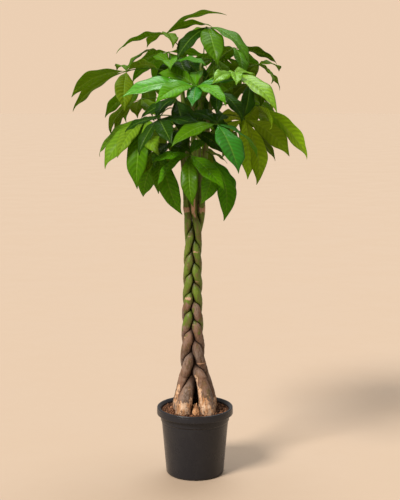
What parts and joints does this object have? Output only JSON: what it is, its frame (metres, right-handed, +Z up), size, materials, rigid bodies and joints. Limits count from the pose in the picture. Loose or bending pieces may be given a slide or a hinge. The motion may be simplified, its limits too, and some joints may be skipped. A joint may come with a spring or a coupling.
{
  "type": "potted money tree",
  "caption": "House plant in a black nursery pot: slender trunks plaited into one column under a round crown of palmate leaves with long pointed leaflets.",
  "frame": {"origin": "centre of the pot's base, on the plane that it stands on", "axes": "+Z up along the plant, the longest extent; -Y is the front, where the trunk's foot shows the dried stub"},
  "size_m": [0.827, 0.8085, 1.6277],
  "materials": {
    "pot": "moulded black plastic, faintly glossy on the rim",
    "soil": "coarse damp potting mix of bark and peat",
    "bark": "smooth bark, grey-brown with peeled tan patches at the foot and green above",
    "dried": "dry fibrous husk",
    "leaf": "semi-gloss leaf with pale veins"
  },
  "bodies": {
    "root": {"pot": "pot", "soil": "soil", "stem_front": "bark", "stem_back_left": "bark", "stem_left": "bark", "stem_back_right": "bark", "stem_right": "bark", "dried_stub": "dried", "leaf_top": "leaf", "leaf_top_left": "leaf", "leaf_front_gloss": "leaf", "leaf_right_lime": "leaf", "leaf_left_reach": "leaf", "leaf_front_ribbed": "leaf", "leaf_front_low": "leaf", "leaf_left_low": "leaf", "leaf_right_reach": "leaf", "leaf_right_mid": "leaf", "leaf_left_front": "leaf", "leaf_top_front": "leaf", "leaf_right_top": "leaf", "leaf_top_right": "leaf", "leaf_left_mid": "leaf", "leaf_left_hanging": "leaf", "leaf_right_hanging": "leaf", "leaf_left_small": "leaf", "leaf_right_inner": "leaf", "leaf_inner_left": "leaf", "leaf_inner_front": "leaf", "leaf_centre_shade": "leaf", "leaf_inner_low": "leaf", "leaf_inner_back_left": "leaf", "leaf_inner_back_right": "leaf", "leaf_inner_back": "leaf", "leaf_back_high_right": "leaf", "leaf_back_high_left": "leaf", "leaf_back_mid": "leaf", "leaf_back_mid_left": "leaf", "leaf_back_mid_right": "leaf", "leaf_back_low_left": "leaf", "leaf_back_low": "leaf", "leaf_back_low_right": "leaf", "leaf_back_bottom": "leaf"}
  },
  "joints": []
}
